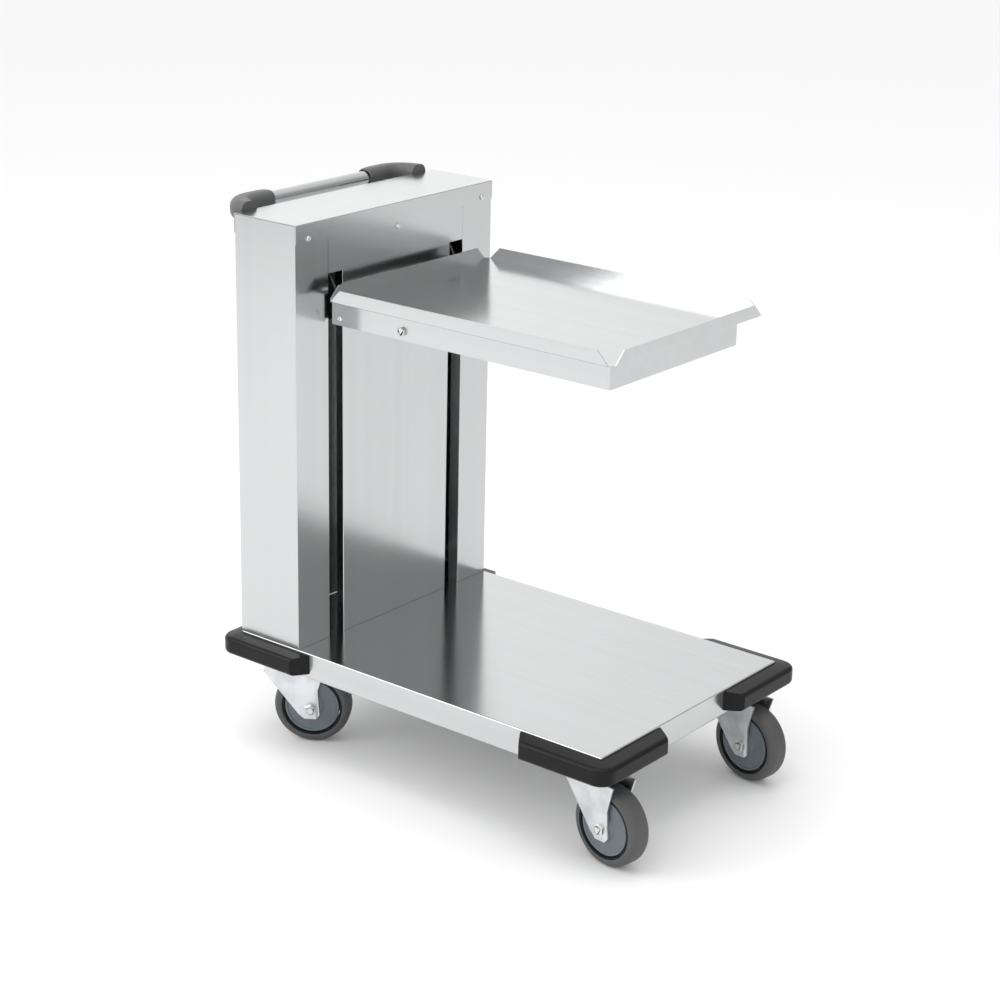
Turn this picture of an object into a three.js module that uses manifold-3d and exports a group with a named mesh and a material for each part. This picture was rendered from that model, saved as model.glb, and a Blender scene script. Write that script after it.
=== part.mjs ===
// Cantilever tray dispenser trolley, in millimetres, +Z up, standing on the floor at z = 0.
// A tower on a flat deck holds a spring-loaded carriage; its two arms reach out through slots
// and carry the tray platform. Four swivel castors, corner bumpers and a push handle complete it.
// While it is drawn, x = 0 is the front face of the tower and y = 0 the centre line; the last
// lines move the whole trolley so that its bounding box stands centred on the origin.

import * as THREE from "three";
import { mergeVertices } from "three/addons/utils/BufferGeometryUtils.js";
import Module from "manifold-3d";

const wasm = await Module();
wasm.setup();

// ---------------------------------------------------------------- driving dimensions

const clearance = 0.3; // between pieces that touch
const sheet = 1.5; // stainless sheet
const past = 1; // how far a cutting shape runs past the face it leaves

// deck
const deckWidth = 466;
const deckFront = 594; // tower front face to deck front edge
const skirtLip = 10;
const skirtGap = 6; // foot of the skirts above the castor forks
const channelSheet = 2.5;
const channelDepth = 25.3;
const channelWidth = 86;

// tower
const towerDepth = 125;
const towerHeight = 684; // deck top to cap top
const capLip = 30;
const capSideInset = 6; // the side lips stop short of the back sheet
const postReturn = 20; // inward fold along each slot
const postReturnDrop = 24; // below the tower's top

// slots in the tower front, where the arms travel
const slotInner = 127.5; // centre line to the near edge of a slot
const slotWidth = 32.8;
const slotTopDrop = 86; // below the tower's top
const panelReturn = 14;

// carriage inside the tower
const carriageBackGap = 30; // to the tower's back face
const carriageDrop = 29; // its top edge below the tower's top
const carriageHeight = 150;
const carriageSheet = 3;
const hookFlange = 32;

// arms: a plate in the tower, a sloping nose in the slot and a bar under the platform
const armThickness = 4;
const armInset = 13.5; // inner edge of the slot to the arm
const armReach = 330;
const armDepth = 39.4;
const barWidth = 18.2;
const noseSlope = 0.6; // of the front edge, forwards for each unit down
const noseDrop = 27; // where that edge crosses the tower's front face, below the slot's top
const armToe = 4; // how far the plate runs into the bar

// guide rollers, on studs of the arms, and the rails they run in
const rollerDiameter = 28;
const rollerWidth = 11;
const rollerChamfer = 1;
const rollerSetback = 25; // behind which the carriage plate lies
const rollerMargins = [25, 135]; // above the carriage's foot
const studDiameter = 8;
const railPlay = 0.5; // between a roller and each rail flange
const railSideGap = 1; // between an arm and its rail
const railWall = 2;
const railReach = 16;

// springs and the cross member that they hang from
const springDiameter = 16;
const springPlaces = [-100, -50, 50, 100];
const hangerDrop = 20; // below the tower's top
const hangerSheet = 3;
const hangerOverlap = 5; // behind the carriage plate
const hangerFlange = 31;
const hangerSideGap = 1;

// platform: a tray sheet with four upstanding rims on a shallow frame
const trayDrop = 117; // its floor below the tower's top, when it is empty
const trayCorner = 8;
const rimHeight = 19;
const trayRearInset = 18; // from the frame's back wall
const trayFrontOverhang = 26;
const traySideOverhang = 32;
const frameRear = 8;
const frameLength = 525;
const frameDepth = 44.2;
const frameFlange = 15;

// push handle
const handleTubeDiameter = 25;
const handleDrop = 4; // tube axis below the tower's top
const handleStandoff = 45; // tube axis behind the tower
const elbowSetback = 17; // from the tower's side
const elbowLength = 104;
const elbowWall = 4.5;
const elbowBevel = 6;
const elbowRoot = 24; // drawn this far into the tower, then cut off behind it
const tubeInsertion = 18;

// corner bumpers
const bumperLeg = 148;
const bumperThickness = 27;
const bumperTopDrop = 3; // below the deck top
const bumperHeight = 32;
const bumperCorner = 26;
const bumperEndBevel = 18;
const bumperEdge = 5;

// castors
const wheelDiameter = 125;
const tyreWidth = 38;
const tyreWall = 18;
const tyreShoulder = 9;
const tyreFlank = 3; // slope of the side below the shoulder
const tyreRounding = [0.25, 0.6, 0.9]; // shares of the quarter turn where the shoulder has points
const coreInset = 2; // the core's rim inside the tyre's sides
const coreRim = 6;
const hubRadius = 13;
const discInset = 3; // the disc behind the rim's edge
const coreBore = 10.6;
const wheelHeadroom = 6; // under the fork's crown
const wheelSideGap = 2.5;
const castorTrail = 40;
const castorPlateLength = 86; // across the trolley
const castorPlateWidth = 84; // along the trolley
const castorPlateSheet = 3;
const castorPlateInset = 3; // from the deck's side
const channelInsets = { front: 2, rear: 17 }; // from the deck's front and back edges
const raceDiameter = 64;
const raceHeight = 18.3;
const forkSheet = 3;
const crownHeight = 5;
const legFoot = 19; // below the axle
const legFootBack = 14; // the foot's flat end, behind and before the axle
const legFootFront = 8;
const legBackChamfer = [8, 7]; // along, and up
const legFrontChamfer = [5, 6];
const legWaist = [10, 30]; // before and above the axle
const legFlare = 22; // before the axle, at the top
const legShoulder = 12; // below the crown
const axleDiameter = 10;
const axleAcrossFlats = 17;
const axleHeadHeight = 6;
const axleNutHeight = 8;
const axleEnd = 4; // thread beyond the nut

// where each swivel stands: degrees that its trail is turned from straight ahead, and the side
// of the wheel that shows the bolt head (+1 or -1 along the axle)
const castors = [
  { name: "castor_front_right", end: "front", side: -1, turn: -8, head: -1 },
  { name: "castor_front_left", end: "front", side: 1, turn: -8, head: -1 },
  { name: "castor_rear_right", end: "rear", side: -1, turn: 33, head: 1 },
  { name: "castor_rear_left", end: "rear", side: 1, turn: 33, head: 1 },
];

// fasteners
const screwShank = 5;
const screwHead = 9;
const screwHeadHeight = 2.4;
const screwLength = 8;
const capScrewInset = 27; // from the tower's side
const capScrewDrop = 24; // below the tower's top
const panelScrewDrop = 39;
const frameScrewX = 25;
const frameScrewDrop = 33.2; // below the frame's top
const frameBoltX = 150;
const frameBoltDrop = 30.2;
const boltShank = 8;
const boltAcrossFlats = 13;
const boltHeadHeight = 5;

// ---------------------------------------------------------------- worked-out places

const wheelRadius = wheelDiameter / 2;
const forkGap = tyreWidth + 2 * wheelSideGap;
const crownTop = wheelDiameter + wheelHeadroom + crownHeight;
const castorHeight = crownTop + clearance + raceHeight + castorPlateSheet;
const channelLow = castorHeight + clearance;
const deckTop = channelLow + channelDepth + clearance + sheet;
const halfWidth = deckWidth / 2;
const skirtLow = crownTop + skirtGap;
const castorY = halfWidth - castorPlateInset - castorPlateLength / 2;
const castorX = {
  front: deckFront - channelInsets.front - channelWidth / 2,
  rear: -towerDepth + channelInsets.rear + channelWidth / 2,
};

const towerTop = deckTop + towerHeight;
const slotOuter = slotInner + slotWidth;
const slotTop = towerTop - slotTopDrop;
const hangerLow = towerTop - hangerDrop;
const capScrewZ = towerTop - capScrewDrop;
const panelScrewZ = towerTop - panelScrewDrop;
const handleX = -towerDepth - handleStandoff;
const handleZ = towerTop - handleDrop;
const elbowOuter = halfWidth - elbowSetback;
const elbowInner = elbowOuter - elbowLength;
const elbowSize = handleTubeDiameter + 2 * elbowWall;

const carriageBack = -towerDepth + carriageBackGap;
const carriageTop = towerTop - carriageDrop;
const carriageLow = carriageTop - carriageHeight;
const springX = carriageBack + carriageSheet + hookFlange / 2;
const rollerX = carriageBack + rollerSetback;
const rollerHeights = rollerMargins.map((margin) => carriageLow + margin);
const armInner = slotInner + armInset;
const armOuter = armInner + armThickness;
const barOuter = armInner + barWidth;

const trayTop = towerTop - trayDrop;
const frameTop = trayTop - sheet - clearance;
const frameFront = frameRear + frameLength;
const frameHalfWidth = barOuter + clearance + sheet;
const frameScrewZ = frameTop - frameScrewDrop;
const frameBoltZ = frameTop - frameBoltDrop;
const trayRear = frameRear + trayRearInset;
const trayFront = frameFront + trayFrontOverhang;
const trayHalfWidth = frameHalfWidth + traySideOverhang;
const barTop = frameTop - sheet - clearance;
const barBottom = barTop - armDepth;

const roundSteps = 24;
const smallSteps = 16;
const wheelSteps = 28;

// ---------------------------------------------------------------- materials

const stainless = { color: 0xc9cbcc, roughness: 0.32, metalness: 1 };
const zinc = { color: 0xd3d6d8, roughness: 0.42, metalness: 0.9 };
const darkSteel = { color: 0x3b3c3e, roughness: 0.5, metalness: 0.8 };
const bumperPlastic = { color: 0x1c1c1e, roughness: 0.45, metalness: 0 };
const elbowPlastic = { color: 0x4c4d4f, roughness: 0.5, metalness: 0 };
const corePlastic = { color: 0x5f666b, roughness: 0.5, metalness: 0 };
const tyreRubber = { color: 0x4a4a4b, roughness: 0.75, metalness: 0 };
const rollerPlastic = { color: 0xe8e6df, roughness: 0.45, metalness: 0 };

// ---------------------------------------------------------------- shape helpers

// A closed solid from a geometry, ready for joining and cutting.
function solid(geometry) {
  const bare = geometry.index ? geometry.clone() : geometry;
  bare.deleteAttribute("normal");
  bare.deleteAttribute("uv");
  const merged = mergeVertices(bare, 1e-4);
  return new wasm.Manifold(
    new wasm.Mesh({
      numProp: 3,
      vertProperties: new Float32Array(merged.attributes.position.array),
      triVerts: new Uint32Array(merged.index.array),
    }),
  );
}

function box(x0, x1, y0, y1, z0, z1) {
  const geometry = new THREE.BoxGeometry(x1 - x0, y1 - y0, z1 - z0);
  geometry.translate((x0 + x1) / 2, (y0 + y1) / 2, (z0 + z1) / 2);
  return solid(geometry);
}

// A box given on the +Y side and repeated on the -Y side when side is -1.
function sideBox(side, x0, x1, y0, y1, z0, z1) {
  return side > 0 ? box(x0, x1, y0, y1, z0, z1) : box(x0, x1, -y1, -y0, z0, z1);
}

// A cylinder along "x", "y" or "z" from a to b, centred on (u, v) in the other two axes.
function rod(axis, diameter, a, b, u, v, steps = roundSteps) {
  const geometry = new THREE.CylinderGeometry(diameter / 2, diameter / 2, b - a, steps);
  if (axis === "x") {
    geometry.rotateZ(-Math.PI / 2);
    geometry.translate((a + b) / 2, u, v);
  } else if (axis === "y") {
    geometry.translate(u, (a + b) / 2, v);
  } else {
    geometry.rotateX(Math.PI / 2);
    geometry.translate(u, v, (a + b) / 2);
  }
  return solid(geometry);
}

function outline(points) {
  return new THREE.Shape(points.map(([u, v]) => new THREE.Vector2(u, v)));
}

// A shape drawn in plan and raised from z0 to z1, with its edges rounded by bevel.
function raised(shape, z0, z1, bevel = 0) {
  const geometry = new THREE.ExtrudeGeometry(shape, {
    depth: z1 - z0 - 2 * bevel,
    bevelEnabled: bevel > 0,
    bevelThickness: bevel,
    bevelSize: bevel,
    bevelOffset: -bevel,
    bevelSegments: 3,
    curveSegments: 6,
  });
  geometry.translate(0, 0, z0 + bevel);
  return solid(geometry);
}

// A shape drawn in side view (u along x, v along z) and spread from y0 to y1.
function spread(shape, y0, y1) {
  const geometry = new THREE.ExtrudeGeometry(shape, {
    depth: y1 - y0,
    bevelEnabled: false,
    curveSegments: 6,
  });
  geometry.rotateX(Math.PI / 2);
  geometry.translate(0, y1, 0);
  return solid(geometry);
}

// A ring turned about the Y axis from a closed profile of [radius, y] points; the first facet
// starts at the angle from.
function turned(profile, steps, from = 0) {
  const points = profile.map(([r, y]) => new THREE.Vector2(r, y));
  points.push(points[0].clone());
  return solid(new THREE.LatheGeometry(points, steps, from));
}

// A hexagonal prism along Y, as a bolt head or a nut.
function hexagon(acrossFlats, y0, y1, x, z) {
  return rod("y", acrossFlats / Math.cos(Math.PI / 6), y0, y1, x, z, 6);
}

function join(pieces) {
  return pieces.reduce((whole, piece) => whole.add(piece));
}

const trolley = new THREE.Group();

// The named mesh of one finished piece.
function add(name, manifold, finish, parent = trolley) {
  const found = manifold.getMesh();
  const geometry = new THREE.BufferGeometry();
  geometry.setAttribute("position", new THREE.BufferAttribute(found.vertProperties, 3));
  geometry.setIndex(new THREE.BufferAttribute(found.triVerts, 1));
  geometry.computeVertexNormals();
  const mesh = new THREE.Mesh(geometry, new THREE.MeshStandardMaterial(finish));
  mesh.name = name;
  parent.add(mesh);
  return mesh;
}

// ---------------------------------------------------------------- fasteners

const capScrewY = halfWidth - capScrewInset;

// the two fasteners that hold each side wall of the frame to an arm's bar
const frameFasteners = [
  { shank: screwShank, x: frameScrewX, z: frameScrewZ },
  { shank: boltShank, x: frameBoltX, z: frameBoltZ },
];

// How deep a fastener's hole runs into the bar.
function shankRun(shank) {
  return 2 * shank;
}

// A clearance hole for a screw along X.
function screwHole(x0, x1, y, z) {
  return rod("x", screwShank + 2 * clearance, x0, x1, y, z);
}

// A round-headed screw along X whose head bears on the plane x.
function frontScrew(x, y, z) {
  return rod("x", screwHead, x, x + screwHeadHeight, y, z, smallSteps)
    .add(rod("x", screwShank, -screwLength + past, x + past, y, z, smallSteps));
}

// A fastener through the frame's side wall: its head, and the shank that runs into the bar.
function frameFastener(side, head, { shank, x, z }) {
  const face = frameHalfWidth + clearance;
  return head.add(rod("y", shank, barOuter - shankRun(shank) + past, face + past, x, z, smallSteps))
    .scale([1, side, 1]);
}

function frameScrew(side) {
  const face = frameHalfWidth + clearance;
  const [screw] = frameFasteners;
  const head = rod("y", screwHead, face, face + screwHeadHeight, screw.x, screw.z, smallSteps);
  return frameFastener(side, head, screw);
}

function frameBolt(side) {
  const face = frameHalfWidth + clearance;
  const bolt = frameFasteners[1];
  return frameFastener(side, hexagon(boltAcrossFlats, face, face + boltHeadHeight, bolt.x, bolt.z), bolt);
}

// ---------------------------------------------------------------- deck

// One folded pan: a flat top, four skirts and a narrow lip turned in along their lower edge.
function deckPan() {
  const rear = -towerDepth;
  const within = (inset, low, high) => box(
    rear + inset, deckFront - inset, -halfWidth + inset, halfWidth - inset, low, high,
  );
  return within(0, skirtLow, deckTop)
    .subtract(within(sheet, skirtLow + sheet, deckTop - sheet))
    .subtract(within(skirtLip, skirtLow - past, skirtLow + 2 * sheet));
}

// A channel under the deck that carries two castor plates on its web.
function castorChannel(x) {
  const top = channelLow + channelDepth;
  const reach = halfWidth - sheet - clearance;
  const half = channelWidth / 2;
  const inner = half - channelSheet;
  return box(x - half, x + half, -reach, reach, channelLow, top).subtract(
    box(x - inner, x + inner, -reach - past, reach + past, channelLow + channelSheet, top + past),
  );
}

// A moulded corner buffer around two skirts, with a round corner and slanted ends.
function bumper(cornerX, inward, side) {
  const top = deckTop - bumperTopDrop;
  const low = top - bumperHeight;
  const out = bumperThickness + clearance;
  const back = 2 * bumperEdge + clearance; // drawn into the deck, then cut off along the skirts
  const shape = new THREE.Shape();
  shape.moveTo(-bumperLeg, back);
  shape.lineTo(-bumperLeg, -clearance);
  shape.lineTo(-bumperLeg + bumperEndBevel, -out);
  shape.lineTo(out - bumperCorner, -out);
  shape.absarc(out - bumperCorner, -out + bumperCorner, bumperCorner, -Math.PI / 2, 0, false);
  shape.lineTo(out, bumperLeg - bumperEndBevel);
  shape.lineTo(clearance, bumperLeg);
  shape.lineTo(-back, bumperLeg);
  shape.lineTo(-back, back);
  const deck = box(-2 * bumperLeg, clearance, -clearance, 2 * bumperLeg, 0, deckTop);
  return raised(shape, low, top, bumperEdge).subtract(deck)
    .scale([-inward, -side, 1]).translate([cornerX, side * halfWidth, 0]);
}

// ---------------------------------------------------------------- tower

// Back, sides and front posts folded from one sheet; each post turns in along its slot.
function towerShell() {
  const low = deckTop + clearance;
  const top = towerTop - sheet - clearance;
  const rear = -towerDepth;
  const shell = box(rear, 0, -halfWidth, halfWidth, low, top)
    .subtract(box(rear + sheet, -sheet, -halfWidth + sheet, halfWidth - sheet, low - past, top + past))
    .subtract(box(-2 * sheet, past, -slotOuter, slotOuter, low - past, top + past));
  const returns = [-1, 1].map((side) => sideBox(
    side, -postReturn, -sheet / 2, slotOuter, slotOuter + sheet, low, towerTop - postReturnDrop,
  ));
  const screwHoles = [-1, 1].map((side) => screwHole(-screwLength, past, side * capScrewY, capScrewZ));
  return join([shell, ...returns]).subtract(join(screwHoles));
}

// The removable panel between the posts; a long notch in each edge is a slot for an arm.
function frontPanel() {
  const low = deckTop + clearance;
  const top = towerTop - sheet - clearance;
  const head = slotOuter - clearance;
  const panel = box(-sheet, 0, -slotInner, slotInner, low, top)
    .add(box(-sheet, 0, -head, head, slotTop, top));
  const returns = [-1, 1].map((side) =>
    sideBox(side, -panelReturn, -sheet / 2, slotInner - sheet, slotInner, low, slotTop));
  return join([panel, ...returns]).subtract(screwHole(-screwLength, past, 0, panelScrewZ));
}

// The lid: lips hang down outside the front and the back, and inside the two sides.
function towerCap() {
  const front = clearance + sheet;
  const rear = -towerDepth - clearance - sheet;
  const bend = towerTop - sheet / 2; // where the lips run into the top
  const low = towerTop - capLip;
  const inner = halfWidth - 2 * sheet - clearance;
  const top = box(rear, front, -halfWidth, halfWidth, towerTop - sheet, towerTop);
  const frontLip = box(clearance, front, -halfWidth, halfWidth, low, bend);
  const backLip = box(rear, -towerDepth - clearance, -halfWidth, halfWidth, low, bend);
  const sideLips = [-1, 1].map((side) => sideBox(
    side, -towerDepth + capSideInset, -postReturn - sheet, inner, inner + sheet,
    hangerLow + hangerSheet + clearance, bend,
  ));
  const holes = [-1, 1].map((side) => screwHole(-past, front + past, side * capScrewY, capScrewZ));
  return join([top, frontLip, backLip, ...sideLips]).subtract(join(holes));
}

// A cross member under the cap; the springs hang from it and the front panel is screwed to it.
function springHanger() {
  const high = hangerLow + hangerSheet;
  const rear = carriageBack - hangerOverlap;
  const front = -sheet - clearance;
  const reach = halfWidth - sheet - clearance;
  const between = slotOuter - hangerSideGap;
  return join([
    box(rear, front, -between, between, hangerLow, high),
    box(rear, -postReturn - hangerSideGap, -reach, reach, hangerLow, high),
    box(front - hangerSheet, front, -between, between, hangerLow - hangerFlange, high),
  ]).subtract(screwHole(front - hangerSheet - past, 0, 0, panelScrewZ));
}

// A U-shaped rail, open towards the centre line, for the two rollers of one arm.
function guideRail(side) {
  const halfGap = rollerDiameter / 2 + railPlay;
  const low = deckTop + clearance;
  const top = hangerLow - clearance;
  const mouth = armOuter + railSideGap;
  const back = mouth + railReach;
  const x0 = rollerX - halfGap;
  const x1 = rollerX + halfGap;
  return sideBox(side, x0 - railWall, x1 + railWall, mouth, back, low, top)
    .subtract(sideBox(side, x0, x1, mouth - past, back - railWall, low - past, top + past));
}

// ---------------------------------------------------------------- carriage and platform

// The plate that joins the two arms, with a flange along its foot where the springs hook on.
function carriagePlate() {
  const reach = armInner - clearance;
  const face = carriageBack + carriageSheet;
  const foot = carriageLow + carriageSheet;
  return box(carriageBack, face, -reach, reach, carriageLow, carriageTop)
    .add(box(carriageBack, carriageBack + hookFlange, -reach, reach, carriageLow, foot));
}

// An arm: a deep plate in the tower, sloping down through the slot, then a bar under the tray.
function carriageArm(side) {
  const noseX = (z) => noseSlope * (slotTop - noseDrop - z);
  const toe = frameRear + armToe;
  const plate = spread(outline([
    [carriageBack, carriageLow], [0, barBottom], [toe, barBottom], [toe, barTop],
    [noseX(barTop), barTop], [noseX(carriageTop), carriageTop], [carriageBack, carriageTop],
  ]), armInner, armOuter);
  const bar = box(toe - past, armReach, armInner, barOuter, barBottom, barTop);
  const studEnd = armOuter + railSideGap + rollerWidth + 2 * clearance;
  const studs = rollerHeights.map((z) =>
    rod("y", studDiameter, armOuter - past, studEnd, rollerX, z, smallSteps));
  const holes = frameFasteners.map(({ shank, x, z }) =>
    rod("y", shank + 2 * clearance, barOuter - shankRun(shank), barOuter + past, x, z, smallSteps));
  return join([plate, bar, ...studs]).subtract(join(holes)).scale([1, side, 1]);
}

// A roller on its stud: a plain ring with a shallow chamfer.
function guideRoller(side, z) {
  const y0 = armOuter + railSideGap + clearance;
  const y1 = y0 + rollerWidth;
  const bore = studDiameter / 2 + clearance;
  const rim = rollerDiameter / 2;
  const c = rollerChamfer;
  return turned([
    [bore, y0], [rim - c, y0], [rim, y0 + c], [rim, y1 - c], [rim - c, y1], [bore, y1],
  ], smallSteps).scale([1, side, 1]).translate([rollerX, 0, z]);
}

// The space of one extension spring, between the carriage foot and the hanger.
function liftSpring(y) {
  const low = carriageLow + carriageSheet + clearance;
  return rod("z", springDiameter, low, hangerLow - clearance, springX, y, smallSteps);
}

// Front and side walls with a flange turned in under the tray; the back wall stands between the arms.
function platformFrame() {
  const y = frameHalfWidth;
  const low = frameTop - frameDepth;
  const within = (inset, z0, z1) =>
    box(frameRear + inset, frameFront - inset, -y + inset, y - inset, z0, z1);
  const armDoors = [-1, 1].map((side) => sideBox(
    side, frameRear - past, frameRear + 2 * sheet, armInner - past, y - sheet, low - past, frameTop - sheet,
  ));
  const holes = frameFasteners.flatMap(({ shank, x, z }) => [-1, 1].map((side) =>
    rod("y", shank + 2 * clearance, y - 2 * sheet, y + past, x, z, smallSteps).scale([1, side, 1])));
  return within(0, low, frameTop)
    .subtract(within(sheet, low - past, frameTop - sheet))
    .subtract(within(frameFlange, low, frameTop + past))
    .subtract(join([...armDoors, ...holes]));
}

// The tray sheet: corners cut off, and on each side a rim folded up with slanted ends.
function platformTray() {
  const [x0, x1, y, c] = [trayRear, trayFront, trayHalfWidth, trayCorner];
  const foot = trayTop - sheet;
  const crest = trayTop + rimHeight;
  const floor = raised(outline([
    [x0 + c, -y], [x1 - c, -y], [x1, -y + c], [x1, y - c],
    [x1 - c, y], [x0 + c, y], [x0, y - c], [x0, -y + c],
  ]), foot, trayTop);
  const rim = (a, b) => outline([
    [a + c, foot], [b - c, foot], [b - c, trayTop],
    [b - c - rimHeight, crest], [a + c + rimHeight, crest], [a + c, trayTop],
  ]);
  const sideRim = spread(rim(x0, x1), y - sheet, y);
  const endRim = spread(rim(-y, y), 0, sheet).rotate([0, 0, 90]);
  return join([
    floor, sideRim, sideRim.translate([0, sheet - 2 * y, 0]),
    endRim.translate([x1, 0, 0]), endRim.translate([x0 + sheet, 0, 0]),
  ]);
}

// ---------------------------------------------------------------- push handle

function handleTube() {
  const reach = elbowInner + tubeInsertion;
  const tube = rod("y", handleTubeDiameter, -reach, reach, handleX, handleZ);
  const bore = rod("y", handleTubeDiameter - 2 * sheet, -reach - past, reach + past, handleX, handleZ);
  return tube.subtract(bore);
}

// A moulded elbow from the tower's back to the mouth that holds the tube.
function handleElbow(side) {
  const foot = -towerDepth - 2 * clearance - sheet;
  const half = elbowSize / 2;
  const outerX = handleX - half;
  const innerX = handleX + half;
  const bend = foot - outerX;
  const root = foot + elbowRoot;
  const shape = new THREE.Shape();
  shape.moveTo(root, elbowOuter);
  shape.absellipse(foot, elbowOuter - bend, bend, bend, Math.PI / 2, Math.PI, false);
  shape.lineTo(outerX, elbowInner);
  shape.lineTo(innerX, elbowInner);
  shape.lineTo(innerX, elbowOuter - bend - half / 2);
  shape.lineTo(foot, elbowOuter - bend + half / 2);
  shape.lineTo(root, elbowOuter - bend + half / 2);
  const [low, high] = [handleZ - half, handleZ + half];
  const behindTower = box(foot, 0, 0, halfWidth, low - past, high + past);
  const socket = rod(
    "y", handleTubeDiameter + 2 * clearance, elbowInner - past, elbowInner + tubeInsertion + clearance,
    handleX, handleZ,
  );
  return raised(shape, low, high, elbowBevel).subtract(behindTower).subtract(socket)
    .scale([1, side, 1]);
}

// ---------------------------------------------------------------- castors
// Drawn with the swivel axis on the Z axis and the trail along +X; the wheel's axle is along Y.

function castorPlate() {
  const half = castorPlateLength / 2;
  const low = castorHeight - castorPlateSheet;
  return box(-castorPlateWidth / 2, castorPlateWidth / 2, -half, half, low, castorHeight)
    .add(rod("z", raceDiameter, low - raceHeight, low + past, 0, 0));
}

// A pressed fork: a round-ended crown under the ball race, and two legs that taper to the axle.
// The crown stays inside the plate's outline, so that it clears the skirts through a full turn.
function castorFork() {
  const radius = castorPlateLength / 2;
  const inner = forkGap / 2;
  const outer = inner + forkSheet;
  const reach = Math.sqrt(radius ** 2 - outer ** 2);
  const legTop = crownTop - crownHeight / 4;
  const shoulder = legTop - legShoulder;
  const foot = wheelRadius - legFoot;
  const leg = outline([
    [-reach, legTop], [-reach - forkSheet, shoulder],
    [castorTrail - legFootBack - legBackChamfer[0], foot + legBackChamfer[1]],
    [castorTrail - legFootBack, foot], [castorTrail + legFootFront, foot],
    [castorTrail + legFootFront + legFrontChamfer[0], foot + legFrontChamfer[1]],
    [castorTrail + legWaist[0], wheelRadius + legWaist[1]],
    [castorTrail + legFlare, legTop],
  ]);
  const endAngle = Math.asin(outer / radius);
  const crown = new THREE.Shape();
  crown.moveTo(-reach, -outer);
  crown.lineTo(reach, -outer);
  crown.absarc(0, 0, radius, -endAngle, endAngle, false);
  crown.lineTo(-reach, outer);
  crown.absarc(0, 0, radius, Math.PI - endAngle, Math.PI + endAngle, false);
  const axleHole = rod(
    "y", axleDiameter + 2 * clearance, -forkGap, forkGap, castorTrail, wheelRadius, smallSteps,
  );
  return join([
    raised(crown, crownTop - crownHeight, crownTop),
    spread(leg, inner, outer),
    spread(leg, -outer, -inner),
  ]).subtract(axleHole);
}

// The bolt that is the wheel's axle, its head bearing on one leg and its thread past the other.
function axleBolt(head) {
  const face = forkGap / 2 + forkSheet + clearance;
  const end = face + axleNutHeight + axleEnd;
  return hexagon(axleAcrossFlats, face, face + axleHeadHeight, castorTrail, wheelRadius)
    .add(rod("y", axleDiameter, -end, face + past, castorTrail, wheelRadius, smallSteps))
    .scale([1, head, 1]);
}

function axleNut(head) {
  const near = -forkGap / 2 - forkSheet - clearance;
  const far = near - axleNutHeight;
  const bore = rod(
    "y", axleDiameter + 2 * clearance, far - past, near + past, castorTrail, wheelRadius, smallSteps,
  );
  return hexagon(axleAcrossFlats, far, near, castorTrail, wheelRadius).subtract(bore)
    .scale([1, head, 1]);
}

// The wheel's moulded core: a hub, a dished disc and a broad rim.
function wheelCore() {
  const rim = tyreWidth / 2 - coreInset;
  const hub = tyreWidth / 2;
  const disc = rim - discInset;
  const bore = coreBore / 2 + clearance;
  const radius = wheelRadius - tyreWall;
  return turned([
    [bore, -hub], [hubRadius, -hub], [hubRadius + coreInset, -disc], [radius - coreRim, -disc],
    [radius, -rim], [radius, rim], [radius - coreRim, disc], [hubRadius + coreInset, disc],
    [hubRadius, hub], [bore, hub],
  ], wheelSteps).translate([castorTrail, 0, wheelRadius]);
}

// The tyre's facets touch the tread circle at their middles, and one of them lies on the floor.
function wheelTyre() {
  const half = tyreWidth / 2;
  const spreading = 1 / Math.cos(Math.PI / wheelSteps);
  const tread = wheelRadius * spreading;
  const inner = (wheelRadius - tyreWall + clearance) * spreading;
  const bead = half - coreInset;
  const s = tyreShoulder;
  const flank = tread - s - tyreFlank;
  const rounding = (sign) => tyreRounding.map((share) => {
    const angle = (share * Math.PI) / 2;
    return [tread - s + s * Math.cos(angle), sign * (half - s + s * Math.sin(angle))];
  });
  return turned([
    [inner, -bead], [flank, -half], ...rounding(-1).reverse(), [tread, 0],
    ...rounding(1), [flank, half], [inner, bead],
  ], wheelSteps, Math.PI / wheelSteps).translate([castorTrail, 0, wheelRadius]);
}

// ---------------------------------------------------------------- assembly

add("deck_pan", deckPan(), stainless);
add("castor_channel_front", castorChannel(castorX.front), zinc);
add("castor_channel_rear", castorChannel(castorX.rear), zinc);
for (const [hand, side] of [["right", -1], ["left", 1]]) {
  add(`bumper_front_${hand}`, bumper(deckFront, -1, side), bumperPlastic);
  add(`bumper_rear_${hand}`, bumper(-towerDepth, 1, side), bumperPlastic);
}

add("tower_shell", towerShell(), stainless);
add("tower_front_panel", frontPanel(), stainless);
add("tower_cap", towerCap(), stainless);
add("spring_hanger", springHanger(), zinc);
add("panel_screw", frontScrew(clearance, 0, panelScrewZ), zinc);

add("carriage_plate", carriagePlate(), zinc);
add("platform_frame", platformFrame(), stainless);
add("platform_tray", platformTray(), stainless);
springPlaces.forEach((y, index) => add(`lift_spring_${index + 1}`, liftSpring(y), darkSteel));
add("handle_tube", handleTube(), stainless);

for (const [hand, side] of [["right", -1], ["left", 1]]) {
  add(`guide_rail_${hand}`, guideRail(side), darkSteel);
  add(`carriage_arm_${hand}`, carriageArm(side), stainless);
  add(`guide_roller_lower_${hand}`, guideRoller(side, rollerHeights[0]), rollerPlastic);
  add(`guide_roller_upper_${hand}`, guideRoller(side, rollerHeights[1]), rollerPlastic);
  add(`frame_screw_${hand}`, frameScrew(side), zinc);
  add(`frame_bolt_${hand}`, frameBolt(side), zinc);
  add(`handle_elbow_${hand}`, handleElbow(side), elbowPlastic);
  add(`cap_screw_${hand}`, frontScrew(2 * clearance + sheet, side * capScrewY, capScrewZ), zinc);
}

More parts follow.
